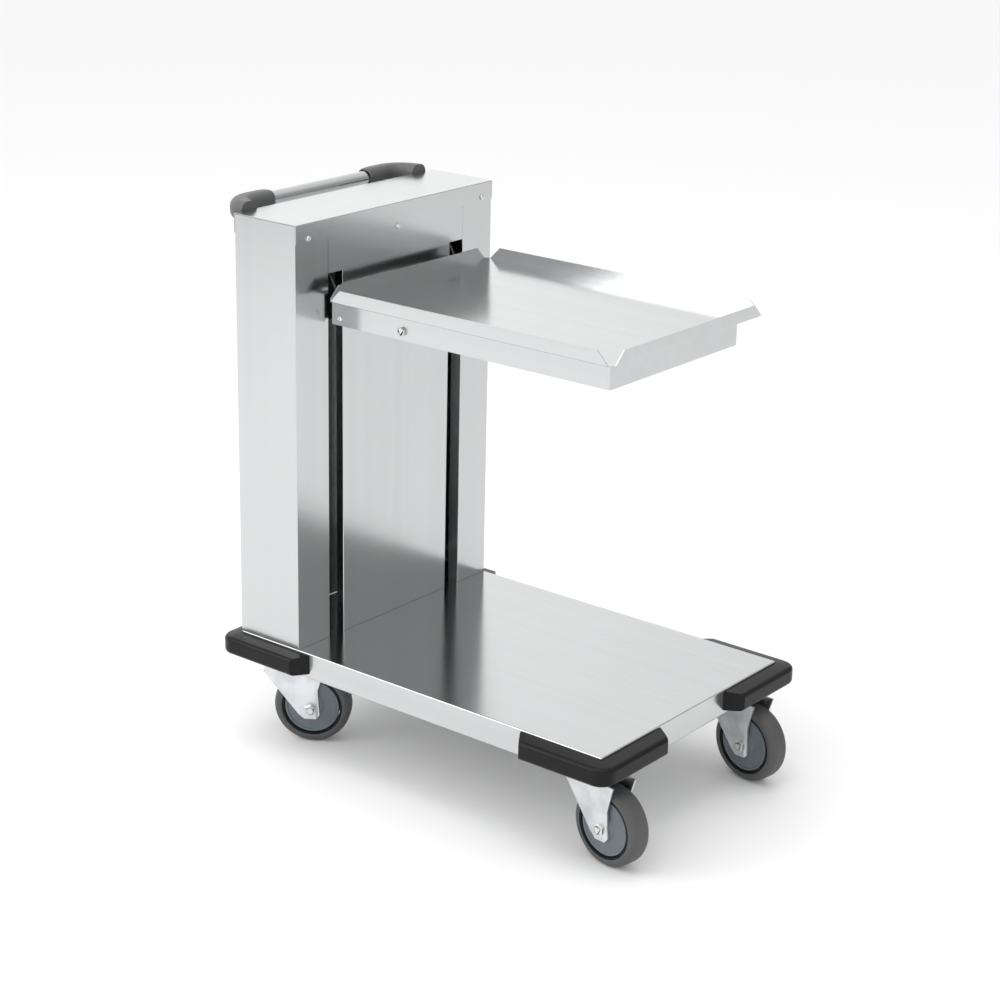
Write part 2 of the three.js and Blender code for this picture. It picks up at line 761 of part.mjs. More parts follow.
for (const { name, end, side, turn, head } of castors) {
  const base = new THREE.Group();
  base.position.set(castorX[end], side * castorY, 0);
  trolley.add(base);
  add(`${name}_plate`, castorPlate(), zinc, base);
  const swivel = new THREE.Group();
  swivel.rotation.z = THREE.MathUtils.degToRad(turn);
  base.add(swivel);
  add(`${name}_fork`, castorFork(), zinc, swivel);
  add(`${name}_axle`, axleBolt(head), zinc, swivel);
  add(`${name}_nut`, axleNut(head), zinc, swivel);
  add(`${name}_core`, wheelCore(), corePlastic, swivel);
  add(`${name}_tyre`, wheelTyre(), tyreRubber, swivel);
}

// Stand the trolley centred over the origin.
trolley.updateMatrixWorld(true);
const bounds = new THREE.Box3().setFromObject(trolley, true);
trolley.position.set(-(bounds.min.x + bounds.max.x) / 2, -(bounds.min.y + bounds.max.y) / 2, -bounds.min.z);

export default trolley;
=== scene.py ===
import math

import bmesh
import bpy
from mathutils import Matrix, Vector


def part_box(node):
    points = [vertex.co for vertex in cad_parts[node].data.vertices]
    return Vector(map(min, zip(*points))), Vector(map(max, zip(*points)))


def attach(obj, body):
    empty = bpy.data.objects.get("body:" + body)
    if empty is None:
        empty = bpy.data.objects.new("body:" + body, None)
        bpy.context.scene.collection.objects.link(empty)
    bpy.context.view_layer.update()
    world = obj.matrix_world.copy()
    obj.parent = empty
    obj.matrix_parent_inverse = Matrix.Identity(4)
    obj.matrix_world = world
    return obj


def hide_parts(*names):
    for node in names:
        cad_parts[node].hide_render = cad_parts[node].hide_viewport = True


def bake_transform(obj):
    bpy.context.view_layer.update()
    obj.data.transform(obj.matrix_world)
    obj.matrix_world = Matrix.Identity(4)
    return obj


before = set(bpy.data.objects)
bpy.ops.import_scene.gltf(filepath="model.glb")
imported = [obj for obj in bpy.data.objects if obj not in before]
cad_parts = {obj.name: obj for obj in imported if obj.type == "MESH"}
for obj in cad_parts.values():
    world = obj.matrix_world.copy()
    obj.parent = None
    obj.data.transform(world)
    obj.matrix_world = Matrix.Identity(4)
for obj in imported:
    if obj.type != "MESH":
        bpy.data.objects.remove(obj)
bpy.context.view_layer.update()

# ------------------------------------------------------------------ camera
# A long lens from the front right, a little above the tower, leaning very slightly.

scene = bpy.context.scene
azimuth = math.radians(38.193)
elevation = math.radians(19.452)
lean = math.radians(1.2439)
backward = Vector((
    math.sin(azimuth) * math.cos(elevation),
    -math.cos(azimuth) * math.cos(elevation),
    math.sin(elevation),
))
level = Vector((math.cos(azimuth), math.sin(azimuth), 0))
upright = backward.cross(level)
rightward = level * math.cos(lean) + upright * math.sin(lean)
upward = upright * math.cos(lean) - level * math.sin(lean)
eye = bpy.data.objects.new("camera", bpy.data.cameras.new("camera"))
lens = 83.16
camera_place = (2.0952, -2.6846, 1.6332)
eye.data.lens = lens
eye.data.clip_end = 200
eye.matrix_world = Matrix.Translation(camera_place) @ Matrix(
    (rightward, upward, backward)
).transposed().to_4x4()
scene.collection.objects.link(eye)
scene.camera = eye
scene.view_settings.view_transform = "Standard"

# ------------------------------------------------------------------ studio
# A matt white floor, a pale room that is dimmer to the right and behind, and three
# large softboxes: one overhead, one to the front left and a weak one to the right.


class Wire:
    """A number on its way between two shader nodes; sums on it add Math nodes."""

    def __init__(self, sheet, socket):
        self.sheet = sheet
        self.socket = socket

    def sum(self, operation, first, second):
        settings = {"operation": operation}
        return self.sheet.node("ShaderNodeMath", settings, {0: first, 1: second})

    def __add__(self, other):
        return self.sum("ADD", self, other)

    def __radd__(self, other):
        return self.sum("ADD", other, self)

    def __sub__(self, other):
        return self.sum("SUBTRACT", self, other)

    def __rsub__(self, other):
        return self.sum("SUBTRACT", other, self)

    def __mul__(self, other):
        return self.sum("MULTIPLY", self, other)

    def __rmul__(self, other):
        return self.sum("MULTIPLY", other, self)


class NodeSheet:
    """The node tree of one material or of the world."""

    def __init__(self, owner):
        owner.use_nodes = True
        self.tree = owner.node_tree
        self.tree.nodes.clear()

    def node(self, kind, settings=None, sockets=None, out=0):
        """Add a node: settings first, then the values or wires of its sockets."""
        made = self.tree.nodes.new(kind)
        for name, value in (settings or {}).items():
            setattr(made, name, value)
        for name, value in (sockets or {}).items():
            if isinstance(value, Wire):
                self.tree.links.new(value.socket, made.inputs[name])
            else:
                made.inputs[name].default_value = value
        return Wire(self, made.outputs[out]) if made.outputs else None

    def smooth(self, value, low, high):
        """0 below low, 1 above high, and a soft step between."""
        settings = {"interpolation_type": "SMOOTHSTEP"}
        return self.node("ShaderNodeMapRange", settings, {"Value": value, 1: low, 2: high})


def remove_selection():
    """Leave nothing selected."""
    for thing in list(bpy.context.selected_objects):
        thing.select_set(False)


remove_selection()
floor_size = 60
floor_white = (0.9, 0.9, 0.9, 1)
bpy.ops.mesh.primitive_plane_add(size=floor_size, location=(0, 0, 0))
floor = bpy.context.object
floor.name = "floor"
floor_paint = bpy.data.materials.new("floor_paint")
sheet = NodeSheet(floor_paint)
matt = sheet.node("ShaderNodeBsdfDiffuse", None, {"Color": floor_white})
sheet.node("ShaderNodeOutputMaterial", None, {"Surface": matt})
floor.data.materials.append(floor_paint)

room = bpy.data.worlds.new("room")
scene.world = room
sheet = NodeSheet(room)
heading = sheet.node("ShaderNodeTexCoord", None, None, "Generated")
split = sheet.node("ShaderNodeSeparateXYZ", None, {0: heading})
across, along, height = (Wire(sheet, split.socket.node.outputs[axis]) for axis in "XYZ")
dim_direction = (0.62, 0.78)
bright_wall = 1.28
wall_drop = 0.84
ceiling_strength = 1.05
dim_side = sheet.smooth(across * dim_direction[0] + along * dim_direction[1], 0.1, 0.85)
ceiling = sheet.smooth(height, 0.3, 0.85)
side = bright_wall - dim_side * wall_drop
strength = side * (1 - ceiling) + ceiling * ceiling_strength
glow = sheet.node("ShaderNodeBackground", None, {"Color": (1, 1, 1, 1), "Strength": strength})
sheet.node("ShaderNodeOutputWorld", None, {"Surface": glow})


def softbox(name, place, aim, size, watts):
    """A rectangular area light at a place, turned towards its aim."""
    lamp = bpy.data.lights.new(name, "AREA")
    lamp.shape = "RECTANGLE"
    lamp.size, lamp.size_y = size
    lamp.energy = watts
    stand = bpy.data.objects.new(name, lamp)
    stand.location = place
    stand.rotation_euler = (Vector(aim) - Vector(place)).to_track_quat("-Z", "Y").to_euler()
    scene.collection.objects.link(stand)


softbox("softbox_overhead", (-0.2, -0.3, 3.2), (0, 0, 0), (2.6, 2.6), 34)
softbox("softbox_front_left", (-2.2, -2.8, 2.4), (0, 0, 0.4), (2.0, 1.6), 30)
softbox("softbox_right", (3.4, 0.8, 1.8), (0, 0, 0.4), (1.2, 1.6), 6)

# ------------------------------------------------------------------ deck
# One folded pan of 1.5 mm satin stainless: a flat top, four skirts and a lip turned in
# along their foot. Every fold has a small outside radius, and every cut edge is deburred.


def metal(name, colours, roughness, grain, depth, wave=0.0002):
    """Brushed sheet: grain gives the scratches' fineness along X, Y and Z."""
    material = bpy.data.materials.new(name)
    sheet = NodeSheet(material)
    place = sheet.node("ShaderNodeTexCoord", None, None, "Object")
    turned = sheet.node("ShaderNodeMapping", None, {"Vector": place, "Scale": grain})
    scratch = sheet.node("ShaderNodeTexNoise", None, {"Vector": turned, "Scale": 1, "Detail": 4})
    broad = sheet.node("ShaderNodeTexNoise", None, {"Vector": place, "Scale": 5, "Detail": 2})
    stretched = sheet.node("ShaderNodeMapping", None, {"Vector": turned, "Scale": (0.06,) * 3})
    band = sheet.node("ShaderNodeTexNoise", None, {"Vector": stretched, "Scale": 1, "Detail": 1})
    tone = sheet.smooth(band * 0.6 + scratch * 0.12 + broad * 0.28, 0.3, 0.7)
    colour = sheet.node("ShaderNodeMix", {"data_type": "RGBA"}, {
        "Factor": tone, 6: (*colours[0], 1), 7: (*colours[1], 1),
    }, 2)
    rough = roughness + (broad - 0.5) * 0.06 + (scratch - 0.5) * 0.04
    waves = sheet.node("ShaderNodeBump", None, {
        "Height": broad, "Strength": 1, "Distance": wave,
    })
    relief = sheet.node("ShaderNodeBump", None, {
        "Height": scratch, "Strength": 1, "Distance": depth, "Normal": waves,
    })
    steel = sheet.node("ShaderNodeBsdfPrincipled", None, {
        "Base Color": colour, "Metallic": 1, "Roughness": rough, "Normal": relief,
    })
    sheet.node("ShaderNodeOutputMaterial", None, {"Surface": steel})
    return material


def alone(piece):
    """Leave only this piece selected, and make it the active one."""
    remove_selection()
    piece.select_set(True)
    bpy.context.view_layer.objects.active = piece


def edit(piece):
    """Edit this piece alone, with all of its mesh selected."""
    alone(piece)
    bpy.ops.object.mode_set(mode="EDIT")
    bpy.ops.mesh.select_all(action="SELECT")


def pick(piece, kind, test):
    """In edit mode, select only the faces, edges or vertices that pass the test."""
    bpy.ops.mesh.select_mode(type=kind)
    bpy.ops.mesh.select_all(action="DESELECT")
    form = bmesh.from_edit_mesh(piece.data)
    form.normal_update()
    for part in {"FACE": form.faces, "EDGE": form.edges, "VERT": form.verts}[kind]:
        if test(part):
            part.select_set(True)
    form.select_flush_mode()
    bmesh.update_edit_mesh(piece.data)


def leave_edit():
    """Go back to object mode."""
    bpy.ops.object.mode_set(mode="OBJECT")


def finished(piece, name, body, finish, nodes, angle=35):
    """Settle a piece: its place into its mesh, smooth shading, finish and body."""
    edit(piece)
    bpy.ops.mesh.dissolve_degenerate(threshold=0.00002)
    leave_edit()
    bpy.ops.object.transform_apply(location=True, rotation=True, scale=True)
    piece.name = name
    piece.data.name = name
    bpy.ops.object.shade_smooth_by_angle(angle=math.radians(angle))
    flat = piece.modifiers.new("flat_faces", "WEIGHTED_NORMAL")
    flat.keep_sharp = True
    bpy.ops.object.modifier_apply(modifier=flat.name)
    piece.data.materials.clear()
    piece.data.materials.append(finish)
    if body:
        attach(piece, body)
    if nodes:
        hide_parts(*nodes)
    return piece


def breadth(face):
    """How wide a long face is across its length."""
    return face.calc_area() / max(edge.calc_length() for edge in face.edges)


def outward(edge, least):
    """Whether an edge sticks out by at least so many degrees."""
    return len(edge.link_faces) == 2 and edge.calc_face_angle_signed(0) > math.radians(least)


def copied(node):
    """A merged copy of a node's mesh, with its flat faces whole."""
    piece = bpy.data.objects.new(node + "_formed", bpy.data.objects[node].data.copy())
    scene.collection.objects.link(piece)
    alone(piece)
    bpy.ops.mesh.customdata_custom_splitnormals_clear()
    edit(piece)
    bpy.ops.mesh.remove_doubles(threshold=0.00001)
    bpy.ops.mesh.dissolve_limited(angle_limit=math.radians(2))
    leave_edit()
    return piece


def formed(node, body, finish, bend, deburr=0.00025, turns=4):
    """A folded sheet: its folds get the radius bend, and its cut edges a fine bevel."""
    piece = copied(node)
    edit(piece)
    if bend:
        pick(piece, "EDGE", lambda edge: outward(edge, 60)
             and min(breadth(face) for face in edge.link_faces) > 0.004)
        bpy.ops.mesh.bevel(offset=bend, segments=turns, affect="EDGES", clamp_overlap=True)
    if deburr:
        pick(piece, "EDGE", lambda edge: outward(edge, 50))
        bpy.ops.mesh.bevel(offset=deburr, segments=1, affect="EDGES", clamp_overlap=True)
    leave_edit()
    return finished(piece, node + "_formed", body, finish, [node])


stainless_tones = ((0.555, 0.56, 0.565), (0.58, 0.585, 0.59))
steel_along = metal("stainless_along", stainless_tones, 0.16, (9, 900, 900), 0.0000015)
steel_upright = metal("stainless_upright", stainless_tones, 0.2, (900, 900, 9), 0.0000015)
steel_across = metal("stainless_across", stainless_tones, 0.2, (900, 9, 900), 0.0000015)

formed("deck_pan", "trolley", steel_along, 0.0022)

# ------------------------------------------------------------------ castor channels
# Two zinc-plated channels of 2.5 mm steel, open upwards, welded across the underside of
# the deck. The castor plates are bolted to their webs.


def plated(name, colour, roughness, fineness=260, depth=0.00002):
    """Zinc plating or bare steel: slightly blotchy, with a fine grain."""
    material = bpy.data.materials.new(name)
    sheet = NodeSheet(material)
    place = sheet.node("ShaderNodeTexCoord", None, None, "Object")
    blotch = sheet.node("ShaderNodeTexNoise", None, {"Vector": place, "Scale": 34, "Detail": 3})
    fine = sheet.node("ShaderNodeTexNoise", None, {"Vector": place, "Scale": fineness, "Detail": 2})
    dull = tuple(part * 0.82 for part in colour)
    tone = sheet.node("ShaderNodeMix", {"data_type": "RGBA"}, {
        "Factor": sheet.smooth(blotch, 0.35, 0.65), 6: (*dull, 1), 7: (*colour, 1),
    }, 2)
    rough = roughness + (blotch - 0.5) * 0.16 + (fine - 0.5) * 0.08
    relief = sheet.node("ShaderNodeBump", None, {"Height": fine, "Strength": 1, "Distance": depth})
    steel = sheet.node("ShaderNodeBsdfPrincipled", None, {
        "Base Color": tone, "Metallic": 1, "Roughness": rough, "Normal": relief,
    })
    sheet.node("ShaderNodeOutputMaterial", None, {"Surface": steel})
    return material


zinc = plated("zinc_plate", (0.74, 0.76, 0.78), 0.34)
for end in ("front", "rear"):
    formed("castor_channel_" + end, "trolley", zinc, 0.003)

# ------------------------------------------------------------------ corner bumpers
# Four moulded buffers of black plastic, each an L around two skirts with a round corner,
# rounded long edges and slanted ends, screwed on from inside the deck.


def moulded(name, colours, roughness, grain=900, depth=0.00003, gleam=0.5):
    """Moulded plastic or rubber: a fine moulded grain and slight changes of tone."""
    material = bpy.data.materials.new(name)
    sheet = NodeSheet(material)
    place = sheet.node("ShaderNodeTexCoord", None, None, "Object")
    broad = sheet.node("ShaderNodeTexNoise", None, {"Vector": place, "Scale": 14, "Detail": 3})
    fine = sheet.node("ShaderNodeTexNoise", None, {"Vector": place, "Scale": grain, "Detail": 2})
    tone = sheet.node("ShaderNodeMix", {"data_type": "RGBA"}, {
        "Factor": sheet.smooth(broad * 0.7 + fine * 0.3, 0.35, 0.65),
        6: (*colours[0], 1), 7: (*colours[1], 1),
    }, 2)
    rough = roughness + (broad - 0.5) * 0.12 + (fine - 0.5) * 0.06
    relief = sheet.node("ShaderNodeBump", None, {"Height": fine, "Strength": 1, "Distance": depth})
    plastic = sheet.node("ShaderNodeBsdfPrincipled", None, {
        "Base Color": tone, "Roughness": rough, "Normal": relief, "Specular IOR Level": gleam,
    })
    sheet.node("ShaderNodeOutputMaterial", None, {"Surface": plastic})
    return material


def near(value, wanted, slack=0.0004):
    """Whether a length in metres is the wanted one."""
    return abs(value - wanted) < slack


def copy_of(piece):
    """A copy of a piece with its own mesh."""
    twin = piece.copy()
    twin.data = piece.data.copy()
    scene.collection.objects.link(twin)
    return twin


bumper_black = moulded(
    "bumper_black", ((0.004, 0.004, 0.0045), (0.007, 0.007, 0.0075)), 0.3, gleam=0.2,
)
low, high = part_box("bumper_front_left")
bumper_gap = 0.0003
bumper_wall = high.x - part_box("deck_pan")[1].x
bumper_leg = high.x - low.x - bumper_wall
bumper_slant = 0.018
bumper_corner = 0.026
bumper_crest_drop = 0.0035
bumper_rounding = 0.0065
bumper_deburr = 0.0008
remove_selection()
bpy.ops.mesh.primitive_cube_add(size=1, location=(0, 0, 0))
buffer = bpy.context.object
buffer.scale = (bumper_leg + bumper_wall, bumper_wall - bumper_gap, high.z - low.z)
buffer.location = (
    (low.x + high.x) / 2, high.y - (bumper_wall - bumper_gap) / 2, (low.z + high.z) / 2,
)
alone(buffer)
bpy.ops.object.transform_apply(location=True, rotation=True, scale=True)
inner_x = high.x - bumper_wall + bumper_gap
inner_y = high.y - bumper_wall + bumper_gap
edit(buffer)
bpy.ops.mesh.bisect(plane_co=(inner_x, 0, 0), plane_no=(1, 0, 0))
pick(buffer, "FACE", lambda face: near(face.calc_center_median().y, inner_y)
     and face.calc_center_median().x > inner_x)
bpy.ops.mesh.extrude_region_move(
    TRANSFORM_OT_translate={"value": (0, -(bumper_leg + bumper_gap), 0)},
)
pick(buffer, "VERT", lambda spot: near(spot.co.x, low.x) and near(spot.co.y, high.y))
bpy.ops.transform.translate(value=(bumper_slant, 0, 0))
pick(buffer, "VERT", lambda spot: near(spot.co.x, high.x) and near(spot.co.y, low.y))
bpy.ops.transform.translate(value=(0, bumper_slant, 0))
pick(buffer, "EDGE", lambda edge: all(
    near(spot.co.x, high.x) and near(spot.co.y, high.y) for spot in edge.verts))
bpy.ops.mesh.bevel(offset=bumper_corner, segments=12, affect="EDGES")


def on_bumper_outside(edge):
    """The long edges and the slanted ends' edges, away from the skirts."""
    flat = near(edge.verts[0].co.z, edge.verts[1].co.z)
    outer = all(spot.co.x > inner_x + 0.001 or spot.co.y > inner_y + 0.001
                for spot in edge.verts)
    return flat and outer and outward(edge, 40)


pick(buffer, "VERT", lambda spot: near(spot.co.z, high.z)
     and (spot.co.x > inner_x + 0.001 or spot.co.y > inner_y + 0.001))
bpy.ops.transform.translate(value=(0, 0, -bumper_crest_drop))
pick(buffer, "EDGE", on_bumper_outside)
bpy.ops.mesh.bevel(offset=bumper_rounding, segments=6, affect="EDGES")
pick(buffer, "EDGE", lambda edge: outward(edge, 30))
bpy.ops.mesh.bevel(offset=bumper_deburr, segments=2, affect="EDGES")
leave_edit()
deck_low, deck_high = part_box("deck_pan")
middle_x = (deck_low.x + deck_high.x) / 2
for end, along_sign in (("front", 1), ("rear", -1)):
    for hand, across_sign in (("left", 1), ("right", -1)):
        twin = copy_of(buffer)
        turn = Matrix.Translation((middle_x, 0, 0)) @ Matrix.Diagonal(
            (along_sign, across_sign, 1, 1)
        ) @ Matrix.Translation((-middle_x, 0, 0))
        twin.data.transform(turn)
        if along_sign * across_sign < 0:
            twin.data.flip_normals()
        node = f"bumper_{end}_{hand}"
        finished(twin, node + "_moulded", "trolley", bumper_black, [node])
bpy.data.objects.remove(buffer)

# ------------------------------------------------------------------ tower
# The shell is one stainless sheet folded into back, sides and two front posts; the panel
# between the posts is screwed in and notched for the arms; the lid laps over front and back.

formed("tower_shell", "trolley", steel_upright, 0.0022)
formed("tower_front_panel", "trolley", steel_upright, 0.002)
formed("tower_cap", "trolley", steel_across, 0.0014)

# ------------------------------------------------------------------ inside the tower
# A zinc-plated cross member under the lid holds the springs; two dark steel U-shaped
# rails, welded inside, guide the rollers.

dark_steel = plated("dark_steel", (0.10, 0.10, 0.105), 0.42)
formed("spring_hanger", "trolley", zinc, 0.002)
for hand in ("right", "left"):
    formed("guide_rail_" + hand, "trolley", dark_steel, 0.0015)

# ------------------------------------------------------------------ screws of the tower
# Zinc-plated round-headed screws with a round recess: one through the panel into the
# cross member, two through the front lip of the lid into the posts.

screw_shine = plated("screw_zinc", (0.80, 0.80, 0.79), 0.22, 500)


def round_head_screw(node, body, axis, sign):
    """A pan-headed screw along X or Y, its head, with a round recess, pointing the way of sign."""
    low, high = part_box(node)
    centre = (low + high) / 2
    length = high[axis] - low[axis]
    head = 0.0024
    recess = 0.0008
    shank_radius = 0.0025
    wide = max(high[i] - low[i] for i in range(3) if i != axis)
    remove_selection()
    bpy.ops.mesh.primitive_cylinder_add(vertices=32, radius=wide / 2, depth=head)
    screw = bpy.context.object
    edit(screw)
    pick(screw, "EDGE", lambda edge: all(spot.co.z > 0 for spot in edge.verts))
    bpy.ops.mesh.bevel(offset=head * 0.75, segments=6, affect="EDGES")
    pick(screw, "FACE", lambda face: face.normal.z > 0.99)
    bpy.ops.mesh.inset(thickness=wide * 0.1)
    bpy.ops.mesh.extrude_region_move(TRANSFORM_OT_translate={"value": (0, 0, -recess)})
    bpy.ops.transform.resize(value=(0.7, 0.7, 1))
    pick(screw, "FACE", lambda face: face.normal.z < -0.99)
    bpy.ops.mesh.inset(thickness=wide / 2 - shank_radius)
    bpy.ops.mesh.extrude_region_move(
        TRANSFORM_OT_translate={"value": (0, 0, -(length - head))},
    )
    leave_edit()
    direction = [0, 0, 0]
    direction[axis] = sign
    screw.rotation_euler = Vector(direction).to_track_quat("Z", "Y").to_euler()
    tip = centre.copy()
    tip[axis] = (high if sign > 0 else low)[axis] - sign * head / 2
    screw.location = tip
    finished(screw, node + "_turned", body, screw_shine, [node])


round_head_screw("panel_screw", "trolley", 0, 1)
for hand in ("right", "left"):
    round_head_screw("cap_screw_" + hand, "trolley", 0, 1)

# ------------------------------------------------------------------ carriage and arms
# A zinc-plated plate that joins the two arms, and the arms: laser-cut dull steel plates
# with a sloping nose, welded to a bar that runs under the tray.

formed("carriage_plate", "platform", zinc, 0.002)
arm_steel = plated("arm_steel", (0.12, 0.12, 0.125), 0.45)
for hand in ("right", "left"):
    formed("carriage_arm_" + hand, "platform", arm_steel, 0)

# ------------------------------------------------------------------ guide rollers
# Four turned nylon rollers on the arms' studs, with a shallow chamfer on both rims.

nylon = moulded("nylon", ((0.62, 0.60, 0.55), (0.72, 0.70, 0.66)), 0.42)
for height in ("lower", "upper"):
    for hand in ("right", "left"):
        node = f"guide_roller_{height}_{hand}"
        low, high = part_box(node)
        centre = (low + high) / 2
        wide = high.y - low.y
        remove_selection()
        bpy.ops.mesh.primitive_cylinder_add(
            vertices=48, radius=(high.z - low.z) / 2, depth=wide, location=centre,
            rotation=(math.pi / 2, 0, 0),
        )
        roller = bpy.context.object
        alone(roller)
        bpy.ops.object.transform_apply(location=True, rotation=True, scale=True)
        edit(roller)
        pick(roller, "EDGE", lambda edge: outward(edge, 60))
        bpy.ops.mesh.bevel(offset=0.001, segments=2, affect="EDGES")
        pick(roller, "FACE", lambda face: abs(face.normal.y) > 0.99)
        bpy.ops.mesh.inset(thickness=0.002, use_individual=True)
        bpy.ops.mesh.inset(thickness=0.0006, depth=-0.0008, use_individual=True)
        bpy.ops.mesh.inset(thickness=0.0066, use_individual=True)
        bpy.ops.mesh.bridge_edge_loops()
        leave_edit()
        finished(roller, node + "_turned", f"{height}_roller_{hand}", nylon, [node])

# ------------------------------------------------------------------ lift springs
# Four close-wound extension springs of 1.8 mm wire with a ring at each end, from the
# cross member under the lid to the foot of the carriage. The real springs lengthen as it sinks; these
# are built at one length and ride on no body.

spring_steel = plated("spring_steel", (0.34, 0.34, 0.35), 0.28)
wire = 0.0009
ring_room = 0.013
for number in range(1, 5):
    node = f"lift_spring_{number}"
    low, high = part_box(node)
    centre = (low + high) / 2
    coil = (high.x - low.x) / 2 - wire
    foot = low.z + ring_room
    winding = high.z - low.z - 2 * ring_room
    turns = int(winding / (2.3 * wire))
    remove_selection()
    bpy.ops.mesh.primitive_circle_add(
        vertices=8, radius=wire, location=(coil, 0, 0), rotation=(math.pi / 2, 0, 0),
    )
    spring = bpy.context.object
    alone(spring)
    bpy.ops.object.transform_apply(location=True, rotation=True, scale=True)
    wound = spring.modifiers.new("wound", "SCREW")
    wound.axis = "Z"
    wound.angle = 2 * math.pi
    wound.screw_offset = winding / turns
    wound.iterations = turns
    wound.steps = 18
    wound.render_steps = 18
    bpy.ops.object.modifier_apply(modifier=wound.name)
    edit(spring)
    bpy.ops.mesh.remove_doubles(threshold=0.00001)
    bpy.ops.mesh.fill_holes(sides=8)
    bpy.ops.mesh.select_all(action="SELECT")
    bpy.ops.mesh.normals_make_consistent(inside=False)
    leave_edit()
    spring.location = (centre.x, centre.y, foot)
    bpy.ops.object.transform_apply(location=True, rotation=True, scale=True)
    rings = []
    for height in (low.z + ring_room / 2, high.z - ring_room / 2):
        bpy.ops.mesh.primitive_torus_add(
            major_segments=28, minor_segments=8, major_radius=ring_room / 2 - wire,
            minor_radius=wire, location=(centre.x, centre.y, height),
            rotation=(math.pi / 2, 0, 0),
        )
        rings.append(bpy.context.object)
    alone(spring)
    for ring in rings:
        ring.select_set(True)
    bpy.ops.object.join()
    finished(spring, node + "_wound", None, spring_steel, [node], angle=60)
    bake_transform(spring)

# ------------------------------------------------------------------ tray platform
# A stainless tray sheet with a rim folded up along each side, spot-welded to a shallow
# frame whose side walls are screwed to the arms.

formed("platform_frame", "platform", steel_along, 0.002)
formed("platform_tray", "platform", steel_along, 0.0018)

# ------------------------------------------------------------------ fasteners of the frame
# On each side a round-headed screw and a hexagon bolt run through the frame's wall into
# the arm's bar.


def hexagon_head(across, height):
    """A hexagon along Z from 0 to height, its corners chamfered at the top."""
    remove_selection()
    bpy.ops.mesh.primitive_cylinder_add(
        vertices=6, radius=across / 2 / math.cos(math.pi / 6), depth=height,
        location=(0, 0, height / 2),
    )
    head = bpy.context.object
    alone(head)
    bpy.ops.object.transform_apply(location=True, rotation=True, scale=True)
    edit(head)
    pick(head, "EDGE", lambda edge: abs(edge.verts[0].co.z - edge.verts[1].co.z) > height / 2)
    bpy.ops.mesh.bevel(offset=across * 0.035, segments=3, affect="EDGES")
    pick(head, "FACE", lambda face: face.normal.z > 0.99)
    bpy.ops.mesh.inset(thickness=across * 0.07, depth=0)
    bpy.ops.mesh.inset(thickness=across * 0.02, depth=0)
    pick(head, "VERT", lambda spot: near(spot.co.z, height, height * 0.01)
         and Vector(spot.co.xy).length > across * 0.5)
    bpy.ops.transform.translate(value=(0, 0, -height * 0.16))
    leave_edit()
    return head


def shank(diameter, low_end, high_end, sides=32):
    """A round bar along Z with a chamfered lower end."""
    remove_selection()
    bpy.ops.mesh.primitive_cylinder_add(
        vertices=sides, radius=diameter / 2, depth=high_end - low_end,
        location=(0, 0, (low_end + high_end) / 2),
    )
    bar = bpy.context.object
    edit(bar)
    pick(bar, "FACE", lambda face: face.normal.z < -0.99)
    bpy.ops.mesh.bevel(offset=diameter * 0.1, segments=2, affect="EDGES")
    leave_edit()
    bpy.ops.object.transform_apply(location=True, rotation=True, scale=True)
    return bar


def joined(first, *others):
    """One piece made of several."""
    alone(first)
    for other in others:
        other.select_set(True)
    bpy.ops.object.join()
    return first


frame_bolt_across = 0.013
frame_bolt_shank = 0.008
shank_overlap = 0.0005
head_height = 0.005
for hand, side in (("right", -1), ("left", 1)):
    round_head_screw("frame_screw_" + hand, "platform", 1, side)
    node = "frame_bolt_" + hand
    low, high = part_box(node)
    centre = (low + high) / 2
    bolt = joined(
        hexagon_head(frame_bolt_across, head_height),
        shank(frame_bolt_shank, -(high.y - low.y - head_height), shank_overlap),
    )
    bolt.rotation_euler = Vector((0, side, 0)).to_track_quat("Z", "Y").to_euler()
    bolt.location = (centre.x, (high if side > 0 else low).y - side * head_height, centre.z)
    finished(bolt, node + "_turned", "platform", screw_shine, [node])

# ------------------------------------------------------------------ push handle
# A 25 mm stainless tube between two moulded elbows of dark grey plastic that are screwed
# to the back of the tower. The tube ends in a socket in each elbow.

low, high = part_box("handle_tube")
centre = (low + high) / 2
tube_radius = (high.x - low.x) / 2
tube_wall = 0.0015
remove_selection()
bpy.ops.mesh.primitive_cylinder_add(
    vertices=72, radius=tube_radius, depth=high.y - low.y, end_fill_type="NOTHING",
    location=centre, rotation=(math.pi / 2, 0, 0),
)
tube = bpy.context.object
alone(tube)
wall = tube.modifiers.new("wall", "SOLIDIFY")
wall.thickness = tube_wall
wall.offset = -1
bpy.ops.object.modifier_apply(modifier=wall.name)
finished(tube, "handle_tube_drawn", "trolley", steel_across, ["handle_tube"])

elbow_grey = moulded("elbow_grey", ((0.060, 0.061, 0.063), (0.082, 0.083, 0.085)), 0.42)
low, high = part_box("handle_elbow_left")
elbow_depth = high.z - low.z
mouth_share = 0.84
mouth_rim = 0.0012
socket_depth = 0.014
bend_centre = Vector((high.x, high.y - (high.x - low.x), (low.z + high.z) / 2))
mouth_y = low.y
tube_centre = Vector((low.x + elbow_depth / 2, mouth_y, bend_centre.z))
remove_selection()
bpy.ops.mesh.primitive_plane_add(
    size=elbow_depth, location=tube_centre, rotation=(math.pi / 2, 0, 0),
)
elbow = bpy.context.object
bpy.ops.object.transform_apply(location=True, rotation=True, scale=True)
edit(elbow)
bpy.ops.mesh.bevel(offset=elbow_depth * 0.4, segments=7, affect="VERTICES")
bpy.ops.mesh.select_all(action="SELECT")
bpy.ops.transform.resize(value=(mouth_share, 1, mouth_share), center_override=tube_centre)
reached = mouth_y
swell = mouth_share
